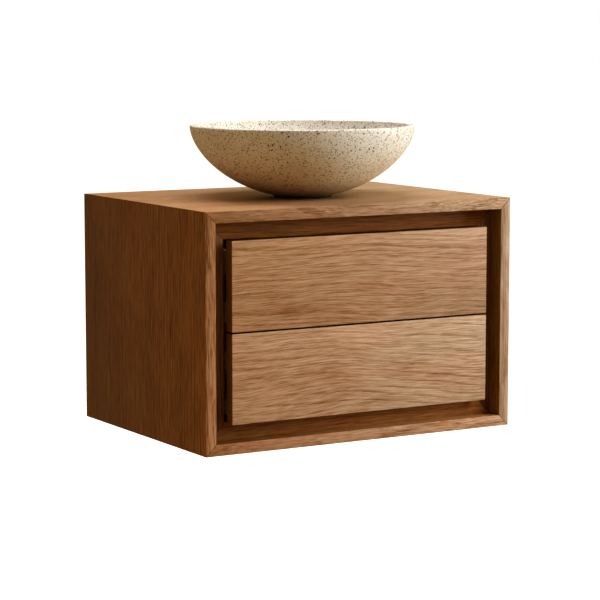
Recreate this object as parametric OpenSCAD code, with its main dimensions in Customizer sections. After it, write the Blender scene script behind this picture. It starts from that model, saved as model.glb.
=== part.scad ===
// Wall-hung bathroom vanity: a mitred oak carcass, a set-back mitred inner frame,
// two full-extension drawers without handles, and a round stone basin on the top.
// Millimetres. X runs to the right as seen from the front, the front faces -Y and the
// wall is the plane Y = 0. The origin is the centre of the four wall fixings.

/* [Cabinet] */
// Width over the side panels
cabinet_w = 600; // [560:5:800]
// Depth from the wall to the front edge
cabinet_d = 455; // [450:5:520]
// Height over the top and bottom panels
cabinet_h = 400; // [400:5:480]
// Thickness of the four mitred carcass panels
panel_t = 19; // [16:1:22]

/* [Inner frame] */
// Face width of the set-back inner frame, and so the width of the finger channel
frame_w = 30; // [26:1:34]
// Thickness of the inner frame
frame_t = 19; // [16:1:22]
// Distance from the front edge of the carcass back to the inner frame
frame_setback = 30; // [26:1:34]

/* [Drawers] */
// Thickness of the visible drawer fronts
front_t = 20; // [18:1:22]
// Gap between the upper and the lower drawer front
front_gap = 3; // [2:0.5:5]
// Thickness of the drawer box boards
box_t = 14; // [12:1:16]
// Length of a drawer box from its front board to its back board
box_len = 390; // [370:5:392]
// Height of the upper drawer box
upper_box_h = 120; // [100:5:125]
// Height of the lower drawer box
lower_box_h = 100; // [80:5:105]
// How far each drawer opens
drawer_travel = 340; // [250:10:340]
// Width of the cut-out that lets the upper drawer pass the waste pipe
well_w = 160; // [120:5:200]

/* [Basin] */
// Radius of the basin's rim
rim_r = 196; // [180:1:200]
// Height of the basin above the top panel
basin_h = 125; // [110:1:140]
// Width of the rim
rim_w = 12; // [10:1:16]
// Radius of the rim's inner and outer edge
rim_edge = 2; // [0.5:0.5:4]
// Distance from the front edge of the carcass to the basin's centre
basin_from_front = 202; // [200:1:250]
// Radius of the flat foot that the basin stands on
foot_r = 50; // [46:1:60]

/* [Hidden] */
$fn = 64;
LEFT = -1;
RIGHT = 1;
UPPER = 1;
LOWER = -1;

OAK = "#a9713f";
OAK_DARK = "#8a5a30";
BIRCH = "#d9bd8c";
STEEL = "#b9bdc1";
RUBBER = "#26262a";
STONE = "#e2d9c6";
CHROME = "#dfe3e6";

// Carcass
half_w = cabinet_w / 2;
half_h = cabinet_h / 2;
inner_x = half_w - panel_t;
inner_z = half_h - panel_t;
front_y = -cabinet_d;
frame_y0 = front_y + frame_setback;
frame_y1 = frame_y0 + frame_t;
open_x = inner_x - frame_w;
open_z = inner_z - frame_w;

// Wall fixing rails, back panel and its opening for the pipes
rail_t = 18;
rail_h = 80;
rail_inner_z = inner_z - rail_h;
fixing_x = 220;
fixing_z = 140;
fixing_r = 4;
back_t = 8;
service_w = 220;
service_z0 = -20;
service_z1 = 80;

// Runners: three nested channels, with balls between them
runner_w = 12.7;
runner_h = 45;
runner_len = 350;
runner_front_inset = 3;
steel_t = 1.2;
ball_r = 1.5;
ball_gap = 0.05;
race_h = 2 * (ball_r + ball_gap);
runner_y0 = frame_y0 + runner_front_inset;
runner_y1 = runner_y0 + runner_len;
outer_lip = 0.9;
outer_depth = runner_w - steel_t;
middle_u0 = 2.6;
middle_u1 = 11.3;
inner_u0 = 5.6;
outer_v = runner_h / 2;
middle_v = outer_v - steel_t - race_h;
inner_v = middle_v - steel_t - race_h;
buffer_len = 9;
buffer_gap = 0.3;
screw_r = 2;
screw_head_r = 3.6;
hole_gap = 0.05;
runner_screw_len = 14;
box_screw_len = 11;
runner_screw_ys = [runner_y0 + 35, runner_y0 + 165, runner_y0 + 300];
slot_r = 5;
slot_len = 60;
slot_ys = [runner_y0 + 100, runner_y0 + 232];

// Ball cages stay inside both of the channels they run between at full travel
cage_t = 0.6;
cage_play = 2;
cage_y0 = runner_y0 + drawer_travel / 4 + cage_play;
cage_y1 = runner_y1 - drawer_travel / 4 - cage_play;
cage_balls = 7;
cage_end = 8;

// Battens that bring the runners level with the inner frame's opening
batten_h = 80;
batten_screw_len = 42;
batten_head_r = 4.2;
batten_head_h = 2.4;
batten_screw_dz = 32;
batten_screw_ys = [frame_y1 + 30, frame_y1 + 190, -rail_t - 40];

// Drawer boxes
box_x = open_x - runner_w;
box_in_x = box_x - box_t;
box_y0 = front_y + front_t;
box_y1 = box_y0 + box_len;
front_h = (2 * open_z - front_gap) / 2;
box_clear = 10;
upper_z0 = front_gap / 2 + box_clear;
upper_z1 = upper_z0 + upper_box_h;
lower_z0 = -open_z + box_clear;
lower_z1 = lower_z0 + lower_box_h;
bottom_t = 6;
bottom_up = 10;
groove = 6;
front_screw_r = 2;
front_screw_len = 26;
front_head_r = 5;
front_head_h = 2.5;
front_screw_x = 150;

// Plumbing well of the upper drawer, round the basin's waste
waste_y = front_y + basin_from_front;
well_t = 12;
well_x = well_w / 2;
well_y0 = waste_y - well_w / 2 - 2;

// Basin: outer and inner walls follow a curve of this power
curve_pow = 1.75;
curve_steps = 26;
outer_start_r = 20;
foot_edge = 0.5;
slope_step = 0.001;
basin_floor_t = 16;
basin_hole_r = 23;
seal_r0 = 28;
seal_r1 = 39;
seal_t = 1.5;

// Waste: G 1 1/4 tail, flange, nut, washers and press plug
tail_r = 20.955;
tail_bore_r = 17.5;
tail_len = 95;
trap_thread_len = 44.5;
shank_r = 20.7;
flange_r = 32;
flange_t = 2.5;
flange_seal_t = 1.5;
flange_z = half_h + basin_floor_t + flange_seal_t;
panel_hole_r = 25;
washer_r = 34;
washer_t = 4;
nut_h = 10;
nut_r = 31.8;
nut_bore_r = 21;
guide_z0 = -26;
guide_h = 8;
guide_r = 7;
guide_rib = 3;
stem_r = 4;
stem_len = 40;
plug_r = 29;
plug_t = 3;
plug_dome = 2.5;
plug_gap = 0.3;
plug_steps = 8;

// ---------- shared shapes ----------

// A plain board between two opposite corners
module board(low, high) {
    translate(low)
        cube(high - low);
}

// A mitred length: an outline in X and Z, carried from y0 to y1
module mitred(points, y0, y1) {
    translate([0, y1, 0])
        rotate([90, 0, 0])
            linear_extrude(height = y1 - y0)
                polygon(points);
}

// A round bar or hole along X, starting at x and running towards the sign of len
module rod_x(x, y, z, r, len) {
    translate([min(x, x + len), y, z])
        rotate([0, 90, 0])
            cylinder(r = r, h = abs(len));
}

// A countersunk screw head or its seat along X: r0 at x, r1 at x + len
module cone_x(x, y, z, r0, r1, len) {
    translate([x, y, z])
        rotate([0, len > 0 ? 90 : -90, 0])
            cylinder(r1 = r0, r2 = r1, h = abs(len));
}

// ---------- carcass ----------

// Top or bottom panel, mitred at both ends
module level_panel(side) {
    mitred([
        [-half_w, side * half_h], [half_w, side * half_h],
        [inner_x, side * inner_z], [-inner_x, side * inner_z]
    ], front_y, 0);
}

// Side panel, mitred at both ends, with pilot holes for the batten screws
module side_panel(side) {
    difference() {
        mitred([
            [side * half_w, -half_h], [side * half_w, half_h],
            [side * inner_x, inner_z], [side * inner_x, -inner_z]
        ], front_y, 0);
        for (level = [UPPER, LOWER])
            batten_screw_set(side, level, hole_gap);
    }
}

module top_panel() {
    color(OAK)
        difference() {
            level_panel(UPPER);
            translate([0, waste_y, inner_z - 1])
                cylinder(r = panel_hole_r, h = panel_t + 2);
        }
}

module bottom_panel() {
    color(OAK)
        level_panel(LOWER);
}

module frame_rail(side) {
    color(OAK_DARK)
        mitred([
            [-inner_x, side * inner_z], [inner_x, side * inner_z],
            [open_x, side * open_z], [-open_x, side * open_z]
        ], frame_y0, frame_y1);
}

module frame_stile(side) {
    color(OAK_DARK)
        mitred([
            [side * inner_x, -inner_z], [side * inner_x, inner_z],
            [side * open_x, open_z], [side * open_x, -open_z]
        ], frame_y0, frame_y1);
}

// Rail flush with the wall plane, with two holes for the wall bolts
module fixing_rail(side) {
    z0 = side == UPPER ? rail_inner_z : -inner_z;
    color(BIRCH)
        difference() {
            board([-inner_x, -rail_t, z0], [inner_x, 0, z0 + rail_h]);
            for (x = [-fixing_x, fixing_x])
                translate([x, 1, side * fixing_z])
                    rotate([90, 0, 0])
                        cylinder(r = fixing_r, h = rail_t + 2);
        }
}

// Thin panel between the two rails, with the opening for the pipes
module back_panel() {
    color(BIRCH)
        difference() {
            board([-inner_x, -rail_t, -rail_inner_z], [inner_x, -rail_t + back_t, rail_inner_z]);
            board([-service_w / 2, -rail_t - 1, service_z0],
                  [service_w / 2, -rail_t + back_t + 1, service_z1]);
        }
}

function level_z(level) =
    level == UPPER ? (upper_z0 + upper_z1) / 2 : (lower_z0 + lower_z1) / 2;

// Screws that hold a batten to its side panel. extra widens them into their holes.
module batten_screw_set(side, level, extra) {
    for (y = batten_screw_ys, dz = [-batten_screw_dz, batten_screw_dz]) {
        z = level_z(level) + dz;
        rod_x(side * open_x, y, z, screw_r + extra, side * batten_screw_len);
        cone_x(side * open_x, y, z, batten_head_r + extra, screw_r + extra,
               side * batten_head_h);
    }
}

// Screws that hold an outer runner to its batten. extra widens them into their holes.
module runner_screw_set(side, level, extra) {
    x = side * (open_x - steel_t);
    for (y = runner_screw_ys) {
        rod_x(x, y, level_z(level), screw_r + extra, side * runner_screw_len);
        cone_x(x, y, level_z(level), screw_head_r + extra, screw_r + extra, side * steel_t);
    }
}

module batten(side, level) {
    z = level_z(level);
    x0 = min(side * open_x, side * inner_x);
    color(BIRCH)
        difference() {
            board([x0, frame_y1, z - batten_h / 2], [x0 + frame_w, -rail_t, z + batten_h / 2]);
            batten_screw_set(side, level, hole_gap);
            runner_screw_set(side, level, hole_gap);
        }
}

module batten_screws() {
    color(STEEL)
        for (side = [LEFT, RIGHT], level = [UPPER, LOWER])
            batten_screw_set(side, level, 0);
}

module runner_cabinet_screws() {
    color(STEEL)
        for (side = [LEFT, RIGHT], level = [UPPER, LOWER])
            runner_screw_set(side, level, 0);
}

// ---------- runners ----------

// Places a shape drawn as [u, v] against one side of the opening and carries it along Y.
// u runs from the batten's face towards the drawer and v runs up.
module along_runner(side, level, y0, y1) {
    translate([side * open_x, y1, level_z(level)])
        mirror([side == RIGHT ? 1 : 0, 0, 0])
            rotate([90, 0, 0])
                linear_extrude(height = y1 - y0)
                    children();
}

// A channel section of half height v between u0 and u1. Its web is at u0, or at u1.
module channel(u0, u1, v, web_at_end) {
    difference() {
        translate([u0, -v])
            square([u1 - u0, 2 * v]);
        translate([web_at_end ? u0 - 1 : u0 + steel_t, steel_t - v])
            square([u1 - u0 - steel_t + 1, 2 * (v - steel_t)]);
    }
}

// Oblong slots through a runner's web, from side * x into the runner
module web_slots(side, level, x) {
    for (y = slot_ys) {
        for (end = [-1, 1])
            rod_x(side * (x + 1), y + end * (slot_len / 2 - slot_r), level_z(level), slot_r,
                  -side * (steel_t + 2));
        x_ends = [side * (x + 1), side * (x - steel_t - 1)];
        board([min(x_ends), y - slot_len / 2 + slot_r, level_z(level) - slot_r],
              [max(x_ends), y + slot_len / 2 - slot_r, level_z(level) + slot_r]);
    }
}

module outer_runner(side, level) {
    color(STEEL)
        difference() {
            along_runner(side, level, runner_y0, runner_y1 + buffer_len + buffer_gap)
                union() {
                    channel(0, outer_depth, outer_v, false);
                    for (edge = [outer_v - steel_t - outer_lip, steel_t - outer_v])
                        translate([outer_depth - steel_t, edge])
                            square([steel_t, outer_lip]);
                }
            runner_screw_set(side, level, hole_gap);
            web_slots(side, level, open_x);
        }
}

module middle_runner(side, level) {
    color(STEEL)
        difference() {
            along_runner(side, level, runner_y0, runner_y1)
                channel(middle_u0, middle_u1, middle_v, false);
            web_slots(side, level, open_x - middle_u0);
        }
}

module inner_runner(side, level) {
    color(STEEL)
        difference() {
            along_runner(side, level, runner_y0, runner_y1)
                channel(inner_u0, runner_w, inner_v, true);
            box_screw_set(side, level, hole_gap);
            web_slots(side, level, open_x - runner_w + steel_t);
        }
}

// Screws that hold an inner runner to the drawer side. extra widens them into their holes.
module box_screw_set(side, level, extra) {
    x = side * (box_x + steel_t);
    for (y = runner_screw_ys) {
        rod_x(x, y, level_z(level), screw_r + extra, -side * box_screw_len);
        cone_x(x, y, level_z(level), screw_head_r + extra, screw_r + extra,
               -side * steel_t);
    }
}

// A bent strip between two channels, with a row of balls above and below.
// u0 is the back of its web, ball_u the centre of the balls and ball_v their height.
module ball_cage(side, level, u0, u1, ball_u, ball_v) {
    along_runner(side, level, cage_y0, cage_y1)
        difference() {
            translate([u0, -ball_v - cage_t / 2])
                square([u1 - u0, 2 * ball_v + cage_t]);
            translate([u0 + cage_t, -ball_v + cage_t / 2])
                square([u1 - u0, 2 * ball_v - cage_t]);
        }
    pitch = (cage_y1 - cage_y0 - 2 * cage_end) / (cage_balls - 1);
    for (i = [0 : cage_balls - 1], up = [-1, 1])
        translate([side * (open_x - ball_u), cage_y0 + cage_end + i * pitch,
                   level_z(level) + up * ball_v])
            sphere(r = ball_r);
}

module outer_ball_cages(level) {
    ball_v = middle_v + race_h / 2;
    color(CHROME)
        for (side = [LEFT, RIGHT])
            ball_cage(side, level, steel_t + 0.4, outer_depth - 2, (steel_t + outer_depth) / 2,
                      ball_v);
}

module inner_ball_cages(level) {
    ball_v = inner_v + race_h / 2;
    color(CHROME)
        for (side = [LEFT, RIGHT])
            ball_cage(side, level, middle_u0 + steel_t + 0.5, middle_u1 - 1.5, 8.4, ball_v);
}

// Rubber stops in the back ends of the four outer runners
module runner_buffers() {
    y0 = runner_y1 + buffer_gap;
    color(RUBBER)
        for (side = [LEFT, RIGHT], level = [UPPER, LOWER])
            along_runner(side, level, y0, y0 + buffer_len)
                translate([steel_t, -middle_v])
                    square([outer_depth - 2 * steel_t, 2 * middle_v]);
}

// ---------- drawers ----------

function box_z0(level) = level == UPPER ? upper_z0 : lower_z0;
function box_z1(level) = level == UPPER ? upper_z1 : lower_z1;

// The groove that the bottom panel sits in, as one flat slab
module bottom_slab(level) {
    z = box_z0(level) + bottom_up;
    board([-box_in_x - groove, box_y0 + box_t - groove, z],
          [box_in_x + groove, box_y1 - box_t + groove, z + bottom_t]);
}

// Four screws from inside the box into the visible front. extra widens them into holes.
module front_screw_set(level, extra) {
    for (x = [-front_screw_x, front_screw_x], k = [0.35, 0.8])
        translate([x, box_y0 + box_t, box_z0(level) + k * (box_z1(level) - box_z0(level))])
            rotate([90, 0, 0])
                cylinder(r = front_screw_r + extra, h = front_screw_len);
}

module front_screw_heads(level) {
    for (x = [-front_screw_x, front_screw_x], k = [0.35, 0.8])
        translate([x, box_y0 + box_t + front_head_h,
                   box_z0(level) + k * (box_z1(level) - box_z0(level))])
            rotate([90, 0, 0])
                cylinder(r = front_head_r, h = front_head_h);
}

module drawer_front(level) {
    z0 = level == UPPER ? front_gap / 2 : -open_z;
    color(OAK)
        difference() {
            board([-open_x, front_y, z0], [open_x, front_y + front_t, z0 + front_h]);
            front_screw_set(level, hole_gap);
        }
}

module box_front(level) {
    color(BIRCH)
        difference() {
            board([-box_in_x, box_y0, box_z0(level)], [box_in_x, box_y0 + box_t, box_z1(level)]);
            bottom_slab(level);
            front_screw_set(level, hole_gap);
        }
}

module box_side(side, level) {
    x0 = min(side * box_x, side * box_in_x);
    color(BIRCH)
        difference() {
            board([x0, box_y0, box_z0(level)], [x0 + box_t, box_y1, box_z1(level)]);
            bottom_slab(level);
            box_screw_set(side, level, hole_gap);
        }
}

// Back board from x0 to x1
module box_back(level, x0, x1) {
    color(BIRCH)
        difference() {
            board([x0, box_y1 - box_t, box_z0(level)], [x1, box_y1, box_z1(level)]);
            bottom_slab(level);
        }
}

// Bottom with a notch open to the back, under the plumbing well
module upper_box_bottom() {
    color(BIRCH)
        difference() {
            bottom_slab(UPPER);
            board([-well_x, well_y0, upper_z0], [well_x, 0, upper_z1]);
        }
}

module lower_box_bottom() {
    color(BIRCH)
        bottom_slab(LOWER);
}

module well_side(side) {
    x0 = side == LEFT ? -well_x - well_t : well_x;
    color(BIRCH)
        board([x0, well_y0 - well_t, upper_z0 + bottom_up + bottom_t],
              [x0 + well_t, box_y1 - box_t, upper_z1]);
}

module well_front() {
    color(BIRCH)
        board([-well_x, well_y0 - well_t, upper_z0 + bottom_up + bottom_t],
              [well_x, well_y0, upper_z1]);
}

module drawer_screws(level) {
    color(STEEL) {
        front_screw_set(level, 0);
        front_screw_heads(level);
        for (side = [LEFT, RIGHT])
            box_screw_set(side, level, 0);
    }
}

// ---------- basin and waste ----------

// Share of the full width that the wall has reached at share t of the height
function curve(t) = pow(1 - pow(1 - t, curve_pow), 1 / curve_pow);
function curve_t(share) = 1 - pow(1 - pow(share, curve_pow), 1 / curve_pow);

// The outer wall starts where it meets the foot and ends where the rim's edge begins
outer_t0 = curve_t((foot_r - outer_start_r) / (rim_r - outer_start_r));
rim_edge_z = basin_h - rim_edge;
outer_t1 = rim_edge_z / basin_h;

// Point of the outer wall at share t of the height, as [radius, height]
function outer_at(t) = [outer_start_r + (rim_r - outer_start_r) * curve(t), basin_h * t];

// Share of the height at step i of the wall, with short steps near the foot
function wall_t(i) = outer_t0 + (outer_t1 - outer_t0) * pow(i / curve_steps, 1.5);

// Point of the inner wall: the rim's width in from the outer wall, square to it
function inner_at(t) =
    let (along = outer_at(t + slope_step) - outer_at(t - slope_step))
    let (p = outer_at(t) + rim_w * [-along.y, along.x] / norm(along))
    [p.x, min(max(p.y, basin_floor_t), rim_edge_z)];

// Rounded edge of the rim, without its lower end
function rim_edge_arc(x, angles) =
    [for (a = angles) [x, rim_edge_z] + rim_edge * [cos(a), sin(a)]];

module basin() {
    outer_edge_x = outer_at(outer_t1).x - rim_edge;
    inner_edge_x = inner_at(outer_t1).x + rim_edge;
    outline = concat(
        [[basin_hole_r, 0], [foot_r - foot_edge, 0], [foot_r, foot_edge]],
        [for (i = [0 : curve_steps]) outer_at(wall_t(i))],
        rim_edge_arc(outer_edge_x, [15 : 15 : 90]),
        rim_edge_arc(inner_edge_x, [90 : 15 : 165]),
        [for (i = [curve_steps : -1 : 1]) inner_at(wall_t(i))],
        [[basin_hole_r, basin_floor_t]]
    );
    color(STONE)
        translate([0, waste_y, half_h])
            difference() {
                rotate_extrude($fn = 128)
                    polygon(outline);
                translate([0, 0, -1])
                    ring(seal_r0, seal_r1, seal_t + 1);
            }
}

module ring(r0, r1, h) {
    difference() {
        cylinder(r = r1, h = h);
        translate([0, 0, -1])
            cylinder(r = r0, h = h + 2);
    }
}

module basin_seal() {
    color(RUBBER)
        translate([0, waste_y, half_h])
            ring(seal_r0, seal_r1, seal_t);
}

module waste_flange_seal() {
    color(RUBBER)
        translate([0, waste_y, half_h + basin_floor_t])
            ring(basin_hole_r, flange_r - 1, flange_seal_t);
}

// Flange, shank, the thread for the trap and the three-armed guide for the plug's stem
module waste_body() {
    color(CHROME)
        translate([0, waste_y, flange_z]) {
            difference() {
                union() {
                    cylinder(r = flange_r, h = flange_t);
                    translate([0, 0, -tail_len])
                        cylinder(r = shank_r, h = tail_len);
                    translate([0, 0, -tail_len])
                        cylinder(r = tail_r, h = trap_thread_len);
                }
                translate([0, 0, -tail_len - 1])
                    cylinder(r = tail_bore_r, h = tail_len + flange_t + 2);
            }
            translate([0, 0, guide_z0])
                difference() {
                    union() {
                        cylinder(r = guide_r, h = guide_h);
                        for (a = [0, 120, 240])
                            rotate([0, 0, a])
                                translate([0, -guide_rib / 2, 0])
                                    cube([tail_bore_r + 1, guide_rib, guide_h]);
                    }
                    translate([0, 0, -1])
                        cylinder(r = stem_r + hole_gap, h = guide_h + 2);
                }
        }
}

module waste_washer() {
    color(RUBBER)
        translate([0, waste_y, inner_z - washer_t])
            ring(nut_bore_r, washer_r, washer_t);
}

module waste_nut() {
    color(CHROME)
        translate([0, waste_y, inner_z - washer_t - nut_h])
            difference() {
                cylinder(r = nut_r, h = nut_h, $fn = 6);
                translate([0, 0, -1])
                    cylinder(r = nut_bore_r, h = nut_h + 2);
            }
}

// Domed press plug on its stem, shown closed
module waste_plug() {
    z0 = flange_t + plug_gap;
    dome = [for (i = [0 : plug_steps])
        let (a = 90 * i / plug_steps)
        [plug_r * cos(a), z0 + plug_t + plug_dome * sin(a)]];
    color(CHROME)
        translate([0, waste_y, flange_z]) {
            rotate_extrude($fn = 96)
                polygon(concat([[0, z0], [plug_r - 1, z0], [plug_r, z0 + 1]], dome));
            translate([0, 0, z0 - stem_len])
                cylinder(r = stem_r, h = stem_len + 1);
        }
}

// ---------- nodes ----------

top_panel();
bottom_panel();
color(OAK) side_panel(LEFT);  // left_side_panel
color(OAK) side_panel(RIGHT);  // right_side_panel
frame_rail(UPPER);  // frame_top_rail
frame_rail(LOWER);  // frame_bottom_rail
frame_stile(LEFT);  // frame_left_stile
frame_stile(RIGHT);  // frame_right_stile
back_panel();
fixing_rail(UPPER);  // upper_fixing_rail
fixing_rail(LOWER);  // lower_fixing_rail
batten(LEFT, UPPER);  // upper_left_batten
batten(RIGHT, UPPER);  // upper_right_batten
batten(LEFT, LOWER);  // lower_left_batten
batten(RIGHT, LOWER);  // lower_right_batten
batten_screws();
runner_cabinet_screws();
runner_buffers();
basin();
basin_seal();
waste_body();
waste_flange_seal();
waste_washer();
waste_nut();
waste_plug();
outer_runner(LEFT, UPPER);  // upper_left_outer_runner
outer_runner(RIGHT, UPPER);  // upper_right_outer_runner
middle_runner(LEFT, UPPER);  // upper_left_middle_runner
middle_runner(RIGHT, UPPER);  // upper_right_middle_runner
inner_runner(LEFT, UPPER);  // upper_left_inner_runner
inner_runner(RIGHT, UPPER);  // upper_right_inner_runner
outer_ball_cages(UPPER);  // upper_outer_ball_cages
inner_ball_cages(UPPER);  // upper_inner_ball_cages
outer_runner(LEFT, LOWER);  // lower_left_outer_runner
outer_runner(RIGHT, LOWER);  // lower_right_outer_runner
middle_runner(LEFT, LOWER);  // lower_left_middle_runner
middle_runner(RIGHT, LOWER);  // lower_right_middle_runner
inner_runner(LEFT, LOWER);  // lower_left_inner_runner
inner_runner(RIGHT, LOWER);  // lower_right_inner_runner
outer_ball_cages(LOWER);  // lower_outer_ball_cages
inner_ball_cages(LOWER);  // lower_inner_ball_cages
drawer_front(UPPER);  // upper_drawer_front
box_front(UPPER);  // upper_box_front
box_side(LEFT, UPPER);  // upper_box_left_side
box_side(RIGHT, UPPER);  // upper_box_right_side
box_back(UPPER, -box_in_x, -well_x);  // upper_box_back_left
box_back(UPPER, well_x, box_in_x);  // upper_box_back_right
upper_box_bottom();
well_side(LEFT);  // upper_well_left
well_side(RIGHT);  // upper_well_right
well_front();  // upper_well_front
drawer_screws(UPPER);  // upper_drawer_screws
drawer_front(LOWER);  // lower_drawer_front
box_front(LOWER);  // lower_box_front
box_side(LEFT, LOWER);  // lower_box_left_side
box_side(RIGHT, LOWER);  // lower_box_right_side
box_back(LOWER, -box_in_x, box_in_x);  // lower_box_back
lower_box_bottom();
drawer_screws(LOWER);  // lower_drawer_screws
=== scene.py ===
"""Looks for a wall-hung oak vanity with a round stone basin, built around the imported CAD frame.

Everything is in metres in the frame's own axes: X to the right as seen from the front, the front
faces -Y, the wall is the plane Y = 0, and Z is up.
"""

import math

import bmesh
import bpy
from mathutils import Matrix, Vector


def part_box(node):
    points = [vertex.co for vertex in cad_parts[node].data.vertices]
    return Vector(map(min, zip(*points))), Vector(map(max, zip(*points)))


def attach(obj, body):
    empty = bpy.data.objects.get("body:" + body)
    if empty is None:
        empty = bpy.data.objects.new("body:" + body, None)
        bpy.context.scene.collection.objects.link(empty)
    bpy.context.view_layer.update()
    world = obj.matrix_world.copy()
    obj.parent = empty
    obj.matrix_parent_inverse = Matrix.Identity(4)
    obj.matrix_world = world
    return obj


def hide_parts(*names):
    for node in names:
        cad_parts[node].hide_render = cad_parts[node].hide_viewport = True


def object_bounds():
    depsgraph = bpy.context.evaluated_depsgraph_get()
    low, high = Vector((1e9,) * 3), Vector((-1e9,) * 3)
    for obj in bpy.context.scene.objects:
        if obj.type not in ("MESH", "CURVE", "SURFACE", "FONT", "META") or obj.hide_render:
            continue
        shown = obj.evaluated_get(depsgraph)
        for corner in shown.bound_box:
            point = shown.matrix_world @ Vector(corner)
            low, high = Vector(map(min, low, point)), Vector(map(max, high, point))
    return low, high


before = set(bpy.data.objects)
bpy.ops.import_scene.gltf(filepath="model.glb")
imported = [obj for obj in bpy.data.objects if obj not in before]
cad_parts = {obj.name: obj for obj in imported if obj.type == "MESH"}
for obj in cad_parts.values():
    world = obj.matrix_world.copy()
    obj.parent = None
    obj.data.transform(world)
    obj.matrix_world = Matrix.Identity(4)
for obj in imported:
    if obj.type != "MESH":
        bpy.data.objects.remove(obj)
cad_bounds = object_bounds()

MM = 0.001

# ---------------------------------------------------------------- camera

CAMERA_PLACE = (-2.0277, -3.6946, 0.5119)
CAMERA_YAW = math.radians(30.449)
CAMERA_PITCH = math.radians(7.048)
CAMERA_LENS = 137.69


def make_camera():
    data = bpy.data.cameras.new("camera")
    data.lens = CAMERA_LENS
    data.sensor_width = 36
    data.clip_start = 0.05
    data.clip_end = 200
    camera = bpy.data.objects.new("camera", data)
    camera.location = CAMERA_PLACE
    camera.rotation_euler = (math.pi / 2 - CAMERA_PITCH, 0, -CAMERA_YAW)
    bpy.context.scene.collection.objects.link(camera)
    bpy.context.scene.camera = camera


# ---------------------------------------------------------------- shader graph helpers


class Graph:
    """Builds one node material. Each call adds a node and returns its output socket."""

    def __init__(self, name):
        self.material = bpy.data.materials.new(name)
        self.material.use_nodes = True
        self.nodes = self.material.node_tree.nodes
        self.links = self.material.node_tree.links
        self.shader = self.nodes["Principled BSDF"]
        coordinates = self.nodes.new("ShaderNodeTexCoord")
        self.place = coordinates.outputs["Object"]

    def put(self, value, socket):
        """Links a socket or sets a constant."""
        if isinstance(value, bpy.types.NodeSocket):
            self.links.new(value, socket)
        else:
            socket.default_value = value

    def math(self, operation, a, b=0.0, c=0.0, clamp=False):
        n = self.nodes.new("ShaderNodeMath")
        n.operation = operation
        n.use_clamp = clamp
        for value, socket in zip((a, b, c), n.inputs):
            self.put(value, socket)
        return n.outputs[0]

    def add(self, a, b):
        return self.math("ADD", a, b)

    def times(self, a, b):
        return self.math("MULTIPLY", a, b)

    def axes(self, vector):
        n = self.nodes.new("ShaderNodeSeparateXYZ")
        self.put(vector, n.inputs[0])
        return n.outputs[0], n.outputs[1], n.outputs[2]

    def vector(self, x, y, z):
        n = self.nodes.new("ShaderNodeCombineXYZ")
        for value, socket in zip((x, y, z), n.inputs):
            self.put(value, socket)
        return n.outputs[0]

    def scaled(self, vector, scale, shift=(0, 0, 0)):
        n = self.nodes.new("ShaderNodeMapping")
        self.put(vector, n.inputs["Vector"])
        n.inputs["Scale"].default_value = scale
        n.inputs["Location"].default_value = shift
        return n.outputs[0]

    def noise(self, vector, scale=1.0, detail=2.0, roughness=0.5, distortion=0.0):
        n = self.nodes.new("ShaderNodeTexNoise")
        self.put(vector, n.inputs["Vector"])
        n.inputs["Scale"].default_value = scale
        n.inputs["Detail"].default_value = detail
        n.inputs["Roughness"].default_value = roughness
        n.inputs["Distortion"].default_value = distortion
        return n.outputs["Fac"]

    def cells(self, vector, scale):
        """Voronoi cells: distance to the nearest point, and that cell's random colour."""
        n = self.nodes.new("ShaderNodeTexVoronoi")
        self.put(vector, n.inputs["Vector"])
        n.inputs["Scale"].default_value = scale
        return n.outputs["Distance"], n.outputs["Color"]

    def ramp(self, factor, stops, interpolation="LINEAR"):
        n = self.nodes.new("ShaderNodeValToRGB")
        n.color_ramp.interpolation = interpolation
        self.put(factor, n.inputs[0])
        elements = n.color_ramp.elements
        while len(elements) < len(stops):
            elements.new(1.0)
        for element, (position, colour) in zip(elements, stops):
            element.position = position
            element.color = colour if len(colour) == 4 else (*colour, 1)
        return n.outputs["Color"]

    def level(self, value, low, high, out_low=0.0, out_high=1.0, smooth=True):
        """Maps low..high onto out_low..out_high, held at both ends."""
        n = self.nodes.new("ShaderNodeMapRange")
        n.interpolation_type = "SMOOTHSTEP" if smooth else "LINEAR"
        self.put(value, n.inputs["Value"])
        n.inputs["From Min"].default_value = low
        n.inputs["From Max"].default_value = high
        n.inputs["To Min"].default_value = out_low
        n.inputs["To Max"].default_value = out_high
        return n.outputs["Result"]

    def mix(self, factor, a, b, blend="MIX"):
        n = self.nodes.new("ShaderNodeMix")
        n.data_type = "RGBA"
        n.blend_type = blend
        self.put(factor, n.inputs[0])
        for value, socket in ((a, n.inputs[6]), (b, n.inputs[7])):
            if not isinstance(value, bpy.types.NodeSocket) and len(value) == 3:
                value = (*value, 1)
            self.put(value, socket)
        return n.outputs[2]

    def bump(self, height, strength, distance):
        n = self.nodes.new("ShaderNodeBump")
        n.inputs["Strength"].default_value = strength
        n.inputs["Distance"].default_value = distance
        self.put(height, n.inputs["Height"])
        return n.outputs[0]

    def painted_light_along(self, colour, axis, tints):
        """Multiplies a colour by painted shade and sheen: a tint that runs from one to the other
        along the whole cabinet.
        """
        place = self.axes(self.place)[axis]
        share = self.level(place, cad_bounds[0][axis], cad_bounds[1][axis], smooth=False)
        tint = self.ramp(share, [(0.0, tints[0]), (1.0, tints[1])])
        return self.mix(1.0, colour, tint, blend="MULTIPLY")

    def finish(self, colour, roughness, normal=None, **others):
        """Feeds the shader. The others are further inputs, under their own names."""
        self.put(colour, self.shader.inputs["Base Color"])
        self.put(roughness, self.shader.inputs["Roughness"])
        if normal is not None:
            self.put(normal, self.shader.inputs["Normal"])
        for name, value in others.items():
            self.put(value, self.shader.inputs[name])
        return self.material


# ---------------------------------------------------------------- oak

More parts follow.
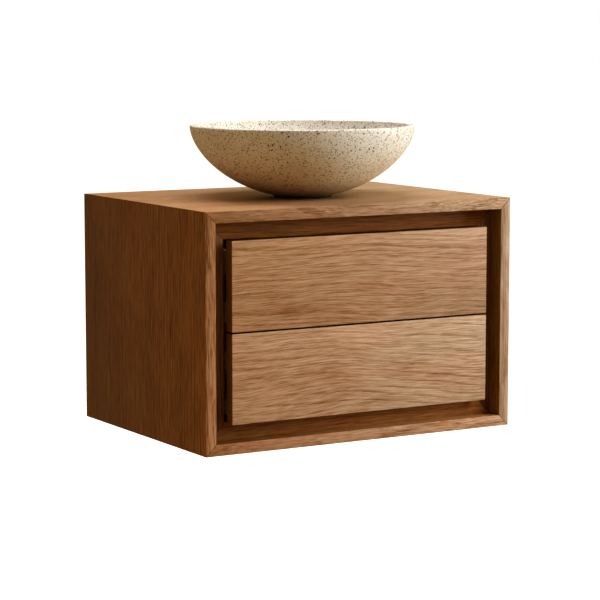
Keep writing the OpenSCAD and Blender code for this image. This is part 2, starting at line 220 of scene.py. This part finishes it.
X, Y, Z = 0, 1, 2
OAK_DARK = (0.150, 0.060, 0.019)
OAK_STREAK = (0.262, 0.120, 0.044)
OAK_MID = (0.345, 0.194, 0.101)
OAK_LIGHT = (0.515, 0.348, 0.216)
OAK_WARM = (1.12, 0.95, 0.92)
PORE_TINT = (0.34, 0.26, 0.20)
MITRE_TINT = (0.050, 0.024, 0.010)
SHEEN_TINT = (1.0, 0.76, 0.55, 1)
GLOSS = 0.34
LOW_GLOSS = 0.10
EVEN = ((1.0, 1.0, 1.0), (1.0, 1.0, 1.0))

FRONT_Y = cad_bounds[0][1]
FACE_END, SIDES_START = FRONT_Y + 0.4 * MM, FRONT_Y + 1.2 * MM
MITRE_OFFSET = cad_bounds[1][0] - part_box("top_panel")[1].z
MITRE_LINE = 1.1 * MM
FLAT_FROM, FLAT_TO = 0.5, 0.9


def growth_rings(g, u, v, w, heart, taper, ring_gap):
    """Share of early wood: it sets in sharply at each ring and fades towards the next."""
    side, depth = g.add(v, -heart[0]), g.add(w, -heart[1])
    radius = g.math("SQRT", g.add(g.times(side, side), g.times(depth, depth)))
    turn = g.math("DIVIDE", g.add(radius, g.times(u, taper)), ring_gap)
    uneven = g.noise(g.vector(turn, 0.0, 0.0), scale=0.4, detail=1.0)
    ring = g.math("FRACT", g.add(turn, g.times(uneven, 2.2)))
    return g.math("MAXIMUM", g.level(ring, 0.30, 0.0), g.level(ring, 0.93, 1.0))


def painted_light_by_face(g, colour, ends, behind, along, flat):
    """Paints shade and sheen onto the front face and onto what lies behind the front plane."""
    face = g.painted_light_along(colour, X, ends)
    sides = g.painted_light_along(colour, along, behind)
    # Faces that look up or down take a further painted shade
    if flat:
        sides = g.mix(flatness(g), sides, g.mix(1.0, sides, flat, blend="MULTIPLY"))
    y = g.axes(g.place)[Y]
    return g.mix(g.level(y, FACE_END, SIDES_START), face, sides)


def flatness(g, at_flat=1.0, elsewhere=0.0):
    """A value for faces that look straight up or down, and one for all others."""
    normal = g.nodes.new("ShaderNodeNewGeometry").outputs["Normal"]
    upright = g.math("ABSOLUTE", g.axes(normal)[Z])
    return g.level(upright, FLAT_FROM, FLAT_TO, elsewhere, at_flat)


def with_mitre_line(g, colour):
    """Darkens the hair line where two mitred boards meet."""
    x, _, z = g.axes(g.place)
    off = g.add(g.math("ABSOLUTE", x), g.times(g.math("ABSOLUTE", z), -1.0))
    off = g.math("ABSOLUTE", g.add(off, -MITRE_OFFSET))
    return g.mix(g.level(off, MITRE_LINE, 0.4 * MITRE_LINE, 0.0, 0.92), colour, MITRE_TINT)


def oak(name, grain, across, heart=(-1.4, 0.1), taper=0.03, ring_gap=0.0095, sway=0.012,
        seed=0.0, contrast=1.0, ends=EVEN, behind=EVEN, along=X, flat=None, mitred=True,
        gloss=GLOSS):
    """Satin oak.

    grain is the axis that the fibres run along, and across the axis they are counted over. heart is
    where the tree's centre lies, measured over `across` and over the third axis. sway is how far
    the grain wanders sideways. ends is the painted shade and sheen of the front face at the
    cabinet's left and right end. behind is the painted shade and sheen of every face behind the
    front plane, at the two ends of the axis `along`. flat is further painted shade on faces that
    look up or down, which have no gloss either.
    """
    g = Graph(name)
    parts = g.axes(g.place)
    third = 3 - grain - across
    u = g.add(parts[grain], seed)
    v, w = parts[across], parts[third]
    place = g.vector(u, v, w)

    drift = g.noise(g.scaled(place, (2.1, 4.5, 4.5)), detail=1.5)
    wave = g.noise(g.scaled(place, (8.0, 20.0, 20.0)), detail=2.0)
    drift, wave = g.times(g.add(drift, -0.5), 8 * sway), g.times(g.add(wave, -0.5), 0.6 * sway)
    v = g.add(v, g.add(drift, wave))
    flow = g.vector(u, v, w)

    patchy = g.noise(g.scaled(place, (6.0, 30.0, 30.0), (4, 4, 9)), detail=1.0)
    early = growth_rings(g, u, v, w, heart, taper, ring_gap)
    early = g.times(early, g.level(patchy, 0.35, 0.65, 0.25, 1.0))

    fibre = g.noise(g.scaled(flow, (34.0, 820.0, 820.0)), detail=3.0, roughness=0.65)
    strand = g.noise(g.scaled(flow, (15.0, 520.0, 520.0), (3, 1, 2)), detail=1.0, roughness=0.5)
    cloud = g.noise(g.scaled(flow, (4.0, 14.0, 14.0), (7, 5, 1)), detail=3.0)
    hue = g.noise(g.scaled(flow, (5.0, 19.0, 19.0), (1, 8, 4)), detail=2.0)
    pore = g.noise(g.scaled(flow, (48.0, 900.0, 900.0)), detail=1.0)
    pore = g.times(g.level(pore, 0.56, 0.66), g.add(g.times(early, 0.7), 0.3))

    bright = g.add(g.times(g.add(fibre, -0.5), 1.45), g.times(g.add(strand, -0.5), 1.00))
    bright = g.add(bright, g.times(g.add(cloud, -0.5), 0.50))
    bright = g.add(bright, g.times(early, -0.26))
    bright = g.add(g.times(bright, contrast), 0.56)
    colour = g.ramp(bright, [(0.05, OAK_DARK), (0.30, OAK_STREAK), (0.50, OAK_MID),
                             (0.95, OAK_LIGHT)])
    colour = g.mix(g.level(hue, 0.35, 0.68, 0.0, 0.6), colour, OAK_WARM, blend="MULTIPLY")
    colour = g.mix(g.times(pore, 0.65), colour, PORE_TINT, blend="MULTIPLY")
    colour = painted_light_by_face(g, colour, ends, behind, along, flat)
    if mitred:
        colour = with_mitre_line(g, colour)

    height = g.add(g.times(fibre, 0.5), g.times(pore, -0.8))
    roughness = g.add(g.times(fibre, 0.14), g.add(g.times(pore, 0.15), 0.42))
    sheen = {
        "Specular IOR Level": flatness(g, 0.0, gloss) if flat else gloss,
        "Specular Tint": SHEEN_TINT,
    }
    return g.finish(colour, roughness, g.bump(height, 0.35, 0.0004), **sheen)


# ---------------------------------------------------------------- other materials


def birch_ply(name, grain, across, thick, ply=1.4 * MM, tone=1.0):
    """Birch plywood: pale faces, and darker and lighter plies on the cut edges.

    thick is the axis through the board, and ply the thickness of one layer.
    """
    g = Graph(name)
    parts = g.axes(g.place)
    place = g.vector(parts[grain], parts[across], parts[thick])
    fibre = g.noise(g.scaled(place, (14.0, 260.0, 260.0)), detail=4.0, roughness=0.6)
    flame = g.noise(g.scaled(place, (2.5, 16.0, 16.0), (2, 3, 1)), detail=3.0, distortion=0.6)
    layer = g.math("DIVIDE", parts[thick], 2 * ply)
    plies = g.level(g.math("PINGPONG", layer, 0.5), 0.21, 0.29)
    bright = g.add(g.times(g.add(fibre, -0.5), 0.8), g.times(g.add(flame, -0.5), 0.9))
    colour = g.ramp(g.add(bright, 0.5), [(0.1, (0.42, 0.27, 0.14)), (0.9, (0.66, 0.49, 0.31))])
    colour = g.mix(g.times(plies, 0.45), colour, (0.62, 0.48, 0.38), blend="MULTIPLY")
    colour = g.mix(1.0, colour, (tone, tone, tone), blend="MULTIPLY")
    roughness = g.add(g.times(fibre, 0.2), 0.38)
    return g.finish(colour, roughness, g.bump(fibre, 0.2, 0.0002))


# Cells per metre, share of cells with a speck, reach in cells, strength and colour
SPECKS = (
    (500.0, 0.85, 0.42, 0.80, (0.250, 0.145, 0.062)),
    (270.0, 0.95, 0.42, 1.00, (0.120, 0.056, 0.018)),
    (140.0, 0.70, 0.28, 1.00, (0.060, 0.032, 0.012)),
    (72.0, 0.70, 0.18, 1.00, (0.040, 0.026, 0.010)),
)
# Height over the foot in tenths of a metre, and the painted shade there: a near-black painted
# contact shadow in the lowest few millimetres, then warmer, darker painted shade up the lower wall
FOOT_PAINTED_SHADE = [
    (0.024, (0.02, 0.015, 0.01)),
    (0.034, (0.30, 0.22, 0.13)),
    (0.14, (0.57, 0.41, 0.24)),
    (0.36, (0.98, 0.82, 0.58)),
    (0.72, (1.02, 0.97, 0.87)),
    (1.0, (1.0, 1.02, 1.04)),
]
STONE_COLOURS = [
    (0.34, (0.52, 0.50, 0.45)),
    (0.50, (0.67, 0.69, 0.67)),
    (0.64, (0.74, 0.77, 0.78)),
]


def speckled_stone(name, base):
    """Honed cream stone with dense brown specks, some larger dark chips, and painted shade that
    darkens it towards the foot.

    base is the height that the basin stands at.
    """
    g = Graph(name)
    wander = g.noise(g.place, scale=240.0, detail=1.0)
    place = g.vector(*[g.add(a, g.times(g.add(wander, -0.5), 0.002)) for a in g.axes(g.place)])
    grain = g.noise(g.place, scale=700.0, detail=3.0, roughness=0.7)
    cloud = g.noise(g.place, scale=16.0, detail=3.0)
    colour = g.ramp(g.add(g.times(grain, 0.65), g.times(cloud, 0.35)), STONE_COLOURS)
    total = None
    for scale, share, size, strength, dark in SPECKS:
        distance, tint = g.cells(place, scale)
        red, green, blue = g.axes(tint)
        chosen = g.level(red, share + 0.01, share - 0.01)
        reach = g.times(g.add(g.times(green, 0.65), 0.35), size)
        speck = g.times(g.level(g.add(distance, g.times(reach, -1.0)), 0.05, -0.05), chosen)
        colour = g.mix(g.times(speck, g.add(g.times(blue, 0.5 * strength), 0.5 * strength)),
                       colour, dark)
        total = speck if total is None else g.math("MAXIMUM", total, speck)
    height = g.level(g.axes(g.place)[2], base, base + 0.10, smooth=False)
    # Painted shade towards the foot, with a painted contact shadow at its base
    colour = g.mix(1.0, colour, g.ramp(height, FOOT_PAINTED_SHADE), blend="MULTIPLY")
    roughness = g.add(g.times(grain, 0.15), g.add(g.times(total, -0.06), 0.44))
    relief = g.add(g.times(grain, 0.6), g.times(total, -0.5))
    # The highlight fades out towards the painted shadow at the foot
    sheen = {"Specular IOR Level": g.level(height, FOOT_PAINTED_SHADE[1][0], FOOT_PAINTED_SHADE[3][0], 0.0, 0.5)}
    return g.finish(colour, roughness, g.bump(relief, 0.25, 0.0002), **sheen)


def metal(name, colour, roughness, brushed=None, scratch=0.08):
    """Metal with fine wear. brushed is the axis that brush lines run along."""
    g = Graph(name)
    scale = [420.0, 420.0, 420.0]
    if brushed is not None:
        scale[brushed] = 9.0
    lines = g.noise(g.scaled(g.place, scale), detail=3.0, roughness=0.6)
    smudge = g.noise(g.place, scale=35.0, detail=3.0)
    shade = g.add(g.times(g.add(lines, -0.5), 0.25), 1.0)
    tint = g.mix(1.0, (*colour, 1), g.vector(shade, shade, shade), blend="MULTIPLY")
    rough = g.add(g.times(lines, scratch), g.add(g.times(smudge, scratch), roughness - scratch))
    return g.finish(tint, rough, g.bump(lines, 0.08, 0.00005), Metallic=1.0)


def rubber(name):
    g = Graph(name)
    grain = g.noise(g.place, scale=1500.0, detail=2.0)
    dust = g.noise(g.place, scale=90.0, detail=3.0)
    colour = g.ramp(dust, [(0.35, (0.012, 0.012, 0.013)), (0.75, (0.045, 0.043, 0.040))])
    return g.finish(colour, g.add(g.times(grain, 0.2), 0.62), g.bump(grain, 0.2, 0.0001))


# ---------------------------------------------------------------- mesh helpers


def new_piece(name, bm, material, body, node=None, smooth_angle=None):
    """Turns a bmesh into a piece that rides on body, and stands for a CAD node if one is named."""
    bmesh.ops.recalc_face_normals(bm, faces=bm.faces)
    mesh = bpy.data.meshes.new(name)
    bm.to_mesh(mesh)
    bm.free()
    mesh.materials.append(material)
    if smooth_angle is not None:
        mesh.shade_smooth()
        mesh.set_sharp_from_angle(angle=math.radians(smooth_angle))
    piece = bpy.data.objects.new(name, mesh)
    bpy.context.scene.collection.objects.link(piece)
    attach(piece, body)
    if node:
        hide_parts(node)
    return piece


def prism(bm, outline, y0, y1):
    """A solid between two copies of an outline given in X and Z."""
    near = [bm.verts.new((x, y0, z)) for x, z in outline]
    far = [bm.verts.new((x, y1, z)) for x, z in outline]
    bm.faces.new(near)
    bm.faces.new(list(reversed(far)))
    for i in range(len(outline)):
        j = (i + 1) % len(outline)
        bm.faces.new((near[i], far[i], far[j], near[j]))


def ease_edges(bm, edges, width):
    """Rounds the edges a little, as sanding does."""
    bmesh.ops.bevel(bm, geom=edges, offset=width, offset_type="OFFSET", segments=3,
                    profile=0.5, affect="EDGES", clamp_overlap=True)


def is_long(edge):
    """True for an edge along the board, and false for one across its depth or along a mitre."""
    along = edge.verts[0].co - edge.verts[1].co
    return abs(along.y) < 1e-6 and (abs(along.x) < 1e-6 or abs(along.z) < 1e-6)


def board(node, material, body, ease=0.5 * MM):
    """A rectangular board with eased edges in the place of its CAD node."""
    low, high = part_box(node)
    bm = bmesh.new()
    prism(bm, [(low.x, low.z), (high.x, low.z), (high.x, high.z), (low.x, high.z)],
          low.y, high.y)
    ease_edges(bm, bm.edges[:], ease)
    return new_piece(node + "_finished", bm, material, body, node, smooth_angle=50)


MITRE_HAIR = 0.15 * MM


def mitred_board(node, material, ease=0.4 * MM):
    """A board mitred at both ends, with its long edge on the outside of the cabinet.

    The mitre faces stay a hair apart, as they do in a real joint, and keep their sharp edges.
    """
    low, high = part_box(node)
    inset = min(high.x - low.x, high.z - low.z) + MITRE_HAIR
    if high.x - low.x > high.z - low.z:
        outer, inner = (high.z, low.z) if high.z > 0 else (low.z, high.z)
        outline = [(low.x + MITRE_HAIR, outer), (high.x - MITRE_HAIR, outer),
                   (high.x - inset, inner), (low.x + inset, inner)]
    else:
        outer, inner = (high.x, low.x) if high.x > 0 else (low.x, high.x)
        outline = [(outer, low.z + MITRE_HAIR), (outer, high.z - MITRE_HAIR),
                   (inner, high.z - inset), (inner, low.z + inset)]
    bm = bmesh.new()
    prism(bm, outline, low.y, high.y)
    ease_edges(bm, [e for e in bm.edges if is_long(e)], ease)
    return new_piece(node + "_finished", bm, material, "root", node, smooth_angle=50)


def lathe(bm, profile, centre, steps):
    """Turns a closed profile of (radius, height) points about the vertical through centre."""
    rings = []
    for radius, height in profile:
        if radius < 1e-9:
            rings.append([bm.verts.new((centre[0], centre[1], height))])
            continue
        rings.append([
            bm.verts.new((centre[0] + radius * math.cos(a), centre[1] + radius * math.sin(a),
                          height))
            for a in (2 * math.pi * i / steps for i in range(steps))
        ])
    for ring, following in zip(rings, rings[1:] + rings[:1]):
        if len(ring) == 1 and len(following) == 1:
            continue
        for i in range(steps):
            j = (i + 1) % steps
            corners = [ring[i % len(ring)], ring[j % len(ring)],
                       following[j % len(following)], following[i % len(following)]]
            bm.faces.new(list(dict.fromkeys(corners)))


def arc(centre, radius, start, stop, steps):
    """Points of an arc, in degrees."""
    turns = [math.radians(start + (stop - start) * i / steps) for i in range(steps + 1)]
    return [(centre[0] + radius * math.cos(a), centre[1] + radius * math.sin(a)) for a in turns]


# ---------------------------------------------------------------- cabinet


# Painted shade and sheen on the front faces, from the cabinet's left end to its right, and painted
# shade on what lies behind the front plane
TOP_FRONT_PAINTED_LIGHT = ((0.50, 0.35, 0.18), (1.05, 1.30, 1.65))
BOTTOM_FRONT_PAINTED_LIGHT = ((0.72, 0.56, 0.42), (1.10, 1.30, 1.60))
SIDE_FRONT_PAINTED_LIGHT = ((0.74, 0.64, 0.52), (0.80, 1.03, 1.38))
DRAWER_FRONT_PAINTED_LIGHT = {
    "upper": ((1.00, 1.00, 0.98), (0.69, 0.78, 0.86)),
    "lower": ((1.06, 1.13, 1.20), (0.84, 1.06, 1.36)),
}
# The top: painted shade towards the left end, painted sheen towards the right end
TOP_PAINTED_SHADE_AND_SHEEN = ((0.90, 0.85, 0.72), (0.92, 1.12, 1.30))
# Painted shade on the bottom's ledge, on the left side (darker towards the wall), on the right
# side's inner face, and on the recessed inner frame
BOTTOM_PAINTED_SHADE = ((0.43, 0.30, 0.14), (0.65, 0.51, 0.29))
LEFT_PAINTED_SHADE = ((0.60, 0.43, 0.20), (0.31, 0.18, 0.05))
RIGHT_PAINTED_SHADE = ((0.58, 0.50, 0.31), (0.58, 0.50, 0.31))
TOP_RAIL_PAINTED_SHADE = ((0.36, 0.22, 0.05), (0.45, 0.27, 0.06))
BOTTOM_RAIL_PAINTED_SHADE = ((0.46, 0.32, 0.12), (0.68, 0.44, 0.21))
STILE_PAINTED_SHADE = ((0.38, 0.33, 0.27), (0.36, 0.31, 0.25))
# Painted shade on the drawer fronts' edges, as in the dark gaps round them, darker still on edges
# that look up or down
EDGE_PAINTED_SHADE = ((0.38, 0.35, 0.30), (0.38, 0.35, 0.30))
FLAT_EDGE_PAINTED_SHADE = (0.33, 0.23, 0.16)


def make_cabinet():
    # Each carcass board takes painted shade and sheen on its front face, and painted shade behind
    # it
    carcass = {
        "top_panel": oak("oak_top", X, Y, seed=3.1, ends=TOP_FRONT_PAINTED_LIGHT, behind=TOP_PAINTED_SHADE_AND_SHEEN,
                         gloss=0.24),
        "bottom_panel": oak("oak_bottom", X, Y, seed=5.3, ends=BOTTOM_FRONT_PAINTED_LIGHT, behind=BOTTOM_PAINTED_SHADE),
        "left_side_panel": oak("oak_left", Z, Y, sway=0.003, taper=0.01, seed=1.7,
                               contrast=1.6, ends=SIDE_FRONT_PAINTED_LIGHT, behind=LEFT_PAINTED_SHADE, along=Y,
                               gloss=0.20),
        "right_side_panel": oak("oak_right", Z, Y, sway=0.004, taper=0.01, seed=8.2,
                                ends=SIDE_FRONT_PAINTED_LIGHT, behind=RIGHT_PAINTED_SHADE),
    }
    for node, material in carcass.items():
        mitred_board(node, material)

    # The inner frame lies in a recess, and takes painted shade there
    inner = {
        "frame_top_rail": (X, Z, 2.4, TOP_RAIL_PAINTED_SHADE),
        "frame_bottom_rail": (X, Z, 6.6, BOTTOM_RAIL_PAINTED_SHADE),
        "frame_left_stile": (Z, X, 4.9, STILE_PAINTED_SHADE),
        "frame_right_stile": (Z, X, 9.5, STILE_PAINTED_SHADE),
    }
    for node, (grain, across, seed, frame_painted_shade) in inner.items():
        material = oak("oak_" + node, grain, across, sway=0.004, seed=seed, behind=frame_painted_shade,
                       gloss=LOW_GLOSS)
        mitred_board(node, material)

    # One board was sawn in two for both fronts, so the figure runs on from one to the other
    for level, ends in DRAWER_FRONT_PAINTED_LIGHT.items():
        # Painted shade and sheen along each front's face, and painted shade on its edges
        figure = oak(f"oak_{level}_front", X, Z, heart=(-0.42, -0.12), taper=0.05, sway=0.008,
                     seed=0.37, ends=ends, behind=EDGE_PAINTED_SHADE, flat=FLAT_EDGE_PAINTED_SHADE, mitred=False)
        board(f"{level}_drawer_front", figure, f"{level}_drawer", ease=0.6 * MM)


def box_board(level, name, material):
    """One board of a drawer's box."""
    board(f"{level}_{name}", material, f"{level}_drawer", ease=0.8 * MM)


def make_drawer_boxes():
    front_ply = birch_ply("birch_front_board", X, Z, Y)
    side_ply = birch_ply("birch_side_board", Y, Z, X)
    bottom_ply = birch_ply("birch_bottom_board", X, Y, Z, ply=1.2 * MM)
    backs = {"upper": ("box_back_left", "box_back_right"), "lower": ("box_back",)}
    for level, back_names in backs.items():
        for name in ("box_front", *back_names):
            box_board(level, name, front_ply)
        for name in ("box_left_side", "box_right_side"):
            box_board(level, name, side_ply)
        paint(f"{level}_box_bottom", bottom_ply)
    for name in ("well_left", "well_right"):
        box_board("upper", name, side_ply)
    box_board("upper", "well_front", front_ply)


def paint(node, material):
    """Gives a CAD node its finished material."""
    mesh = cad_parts[node].data
    mesh.materials.clear()
    mesh.materials.append(material)


def make_hidden_boards():
    rail_ply = birch_ply("birch_rail", X, Z, Y, tone=0.9)
    for node in ("upper_fixing_rail", "lower_fixing_rail", "back_panel"):
        paint(node, rail_ply)
    batten_ply = birch_ply("birch_batten", Y, Z, X, tone=0.85)
    for level in ("upper", "lower"):
        for side in ("left", "right"):
            paint(f"{level}_{side}_batten", batten_ply)


# ---------------------------------------------------------------- basin and waste

CURVE_POWER = 1.75
RIM_RADIUS = 196 * MM
RIM_WIDTH = 12 * MM
RIM_EDGE = 2 * MM
BASIN_HEIGHT = 125 * MM
FOOT_RADIUS = 50 * MM
FOOT_EASE = 0.5 * MM
START_RADIUS = 20 * MM
FLOOR_THICKNESS = 16 * MM
FLOOR_BLEND = 6 * MM
DRAIN_RADIUS = 23 * MM
WALL_STEPS = 64
CROWDING = 1.6


def wall_share(t):
    """How far out the wall has come at share t of the height."""
    return (1 - (1 - t) ** CURVE_POWER) ** (1 / CURVE_POWER)


def outer_wall(t):
    """Point of the basin's outer wall at share t of the height."""
    return (START_RADIUS + (RIM_RADIUS - START_RADIUS) * wall_share(t), BASIN_HEIGHT * t)


def inner_wall(t, step=0.001):
    """Point of the inner wall: the rim's width in from the outer wall, square to it."""
    (r0, z0), (r1, z1) = outer_wall(t - step), outer_wall(t + step)
    length = math.hypot(r1 - r0, z1 - z0)
    radius, height = outer_wall(t)
    return (radius - RIM_WIDTH * (z1 - z0) / length, height + RIM_WIDTH * (r1 - r0) / length)


def make_basin(base, centre):
    foot_share = (FOOT_RADIUS - START_RADIUS) / (RIM_RADIUS - START_RADIUS)
    t0 = 1 - (1 - foot_share ** CURVE_POWER) ** (1 / CURVE_POWER)
    edge_height = BASIN_HEIGHT - RIM_EDGE
    t1 = edge_height / BASIN_HEIGHT
    shares = [t0 + (t1 - t0) * (i / WALL_STEPS) ** CROWDING for i in range(WALL_STEPS + 1)]
    outside = [outer_wall(t) for t in shares]
    inside = [p for p in (inner_wall(t) for t in shares)
              if FLOOR_THICKNESS < p[1] < edge_height - 0.2 * MM]
    outer_edge = arc((outside[-1][0] - RIM_EDGE, edge_height), RIM_EDGE, 0, 90, 8)[1:]
    inner_edge = arc((inner_wall(t1)[0] + RIM_EDGE, edge_height), RIM_EDGE, 90, 180, 8)
    foot = [(DRAIN_RADIUS, 0), (FOOT_RADIUS - FOOT_EASE, 0), (FOOT_RADIUS, FOOT_EASE)]
    blend_start = inside[0][0]
    floor = [(blend_start - FLOOR_BLEND, FLOOR_THICKNESS + 0.25 * MM),
             (blend_start - 2 * FLOOR_BLEND, FLOOR_THICKNESS), (DRAIN_RADIUS, FLOOR_THICKNESS)]
    profile = foot + outside + outer_edge + inner_edge + inside[::-1] + floor
    bm = bmesh.new()
    lathe(bm, [(r, z + base) for r, z in profile], centre, steps=256)
    new_piece("basin_bowl", bm, speckled_stone("speckled_stone", base), "root", "basin",
              smooth_angle=40)


CAP_SIDE = 3 * MM
CAP_DOME = 2.5 * MM
CAP_EASE = 0.8 * MM
DOME_STEPS = 16
STEM_RADIUS = 4 * MM
STEM_EASE = 0.6 * MM
STEM_OVERLAP = 1 * MM


def make_waste(centre):
    chrome = metal("chrome", (0.78, 0.79, 0.80), 0.07, scratch=0.03)
    for node in ("waste_body", "waste_nut"):
        paint(node, chrome)

    low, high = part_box("waste_plug")
    radius = (high.x - low.x) / 2
    shoulder = high.z - CAP_DOME
    edge = shoulder - CAP_SIDE
    dome = [(radius * math.cos(a), shoulder + CAP_DOME * math.sin(a))
            for a in (math.pi / 2 * i / DOME_STEPS for i in range(DOME_STEPS))]
    cap = [(0, edge), (radius - CAP_EASE, edge), (radius, edge + CAP_EASE), *dome, (0, high.z)]
    stem_top = edge + STEM_OVERLAP
    stem = [(0, low.z), (STEM_RADIUS - STEM_EASE, low.z), (STEM_RADIUS, low.z + STEM_EASE),
            (STEM_RADIUS, stem_top), (0, stem_top)]
    bm = bmesh.new()
    lathe(bm, cap, centre, steps=128)
    lathe(bm, stem, centre, steps=32)
    new_piece("waste_plug_cap", bm, chrome, "waste_plug", "waste_plug",
              smooth_angle=35)


# ---------------------------------------------------------------- runners and small parts


def make_hardware():
    dark_zinc = metal("dark_zinc_steel", (0.22, 0.19, 0.16), 0.60, brushed=Y, scratch=0.10)
    bright = metal("bright_steel", (0.72, 0.73, 0.74), 0.18, scratch=0.06)
    yellow_zinc = metal("passivated_steel", (0.70, 0.66, 0.52), 0.30, scratch=0.10)
    black = rubber("black_rubber")
    for level in ("upper", "lower"):
        for side in ("left", "right"):
            for member in ("outer", "middle", "inner"):
                paint(f"{level}_{side}_{member}_runner", dark_zinc)
        for member in ("outer", "inner"):
            paint(f"{level}_{member}_ball_cages", bright)
        paint(f"{level}_drawer_screws", yellow_zinc)
    for node in ("batten_screws", "runner_cabinet_screws"):
        paint(node, yellow_zinc)
    for node in ("runner_buffers", "basin_seal", "waste_flange_seal", "waste_washer"):
        paint(node, black)


# ---------------------------------------------------------------- studio


FLOOR_HALF = 40.0
FLOOR_DROP = 0.45
AMBIENT = (1.0, 0.61, 0.25, 1)
AMBIENT_STRENGTH = 0.40
LIGHT_TARGET = (0.0, -0.25, 0.05)
WARM = (1.0, 0.955, 0.87)


def make_floor():
    """Pale floor well below the cabinet, which hangs clear of it."""
    mesh = bpy.data.meshes.new("floor")
    level = cad_bounds[0][2] - FLOOR_DROP
    corners = [(-1, -1), (1, -1), (1, 1), (-1, 1)]
    mesh.from_pydata([(x * FLOOR_HALF, y * FLOOR_HALF, level) for x, y in corners], [],
                     [(0, 1, 2, 3)])
    floor = bpy.data.objects.new("floor", mesh)
    bpy.context.scene.collection.objects.link(floor)
    g = Graph("pale_floor")
    cloud = g.noise(g.place, scale=2.0, detail=2.0)
    colour = g.ramp(cloud, [(0.3, (0.97, 0.97, 0.97)), (0.7, (0.99, 0.99, 0.99))])
    glow = {"Emission Color": colour, "Emission Strength": 0.95}
    mesh.materials.append(g.finish(colour, 0.9, **glow))
    floor.visible_diffuse = False
    floor.visible_glossy = False


def make_world():
    """White to the camera, and a weak warm light on the object, as from a room in wood tones."""
    world = bpy.data.worlds.new("studio")
    bpy.context.scene.world = world
    world.use_nodes = True
    nodes, links = world.node_tree.nodes, world.node_tree.links
    path = nodes.new("ShaderNodeLightPath")
    warm = nodes["Background"]
    warm.inputs["Color"].default_value = AMBIENT
    warm.inputs["Strength"].default_value = AMBIENT_STRENGTH
    white = nodes.new("ShaderNodeBackground")
    white.inputs["Color"].default_value = (1, 1, 1, 1)
    choice = nodes.new("ShaderNodeMixShader")
    links.new(path.outputs["Is Camera Ray"], choice.inputs[0])
    links.new(warm.outputs[0], choice.inputs[1])
    links.new(white.outputs[0], choice.inputs[2])
    links.new(choice.outputs[0], nodes["World Output"].inputs["Surface"])


def area_light(name, place, size, power, colour=(1, 1, 1)):
    """A soft light that faces the cabinet."""
    data = bpy.data.lights.new(name, "AREA")
    data.shape = "RECTANGLE"
    data.size, data.size_y = size
    data.energy = power
    data.color = colour
    light = bpy.data.objects.new(name, data)
    light.location = place
    direction = Vector(LIGHT_TARGET) - Vector(place)
    light.rotation_euler = direction.to_track_quat("-Z", "Y").to_euler()
    bpy.context.scene.collection.objects.link(light)


def make_lights():
    area_light("key", (3.0, -3.8, 2.9), (2.8, 2.8), 240, WARM)
    area_light("side", (2.6, -1.4, 0.25), (0.8, 0.8), 60, WARM)
    area_light("top", (0.0, 0.0, 2.2), (1.6, 1.2), 44)


def set_colour_management():
    view = bpy.context.scene.view_settings
    view.view_transform = "Standard"
    view.look = "None"


def main():
    set_colour_management()
    make_camera()
    make_cabinet()
    make_drawer_boxes()
    make_hidden_boards()
    top_of_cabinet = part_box("top_panel")[1].z
    low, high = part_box("basin")
    basin_centre = ((low.x + high.x) / 2, (low.y + high.y) / 2)
    make_basin(top_of_cabinet, basin_centre)
    make_waste(basin_centre)
    make_hardware()
    make_floor()
    make_world()
    make_lights()


main()
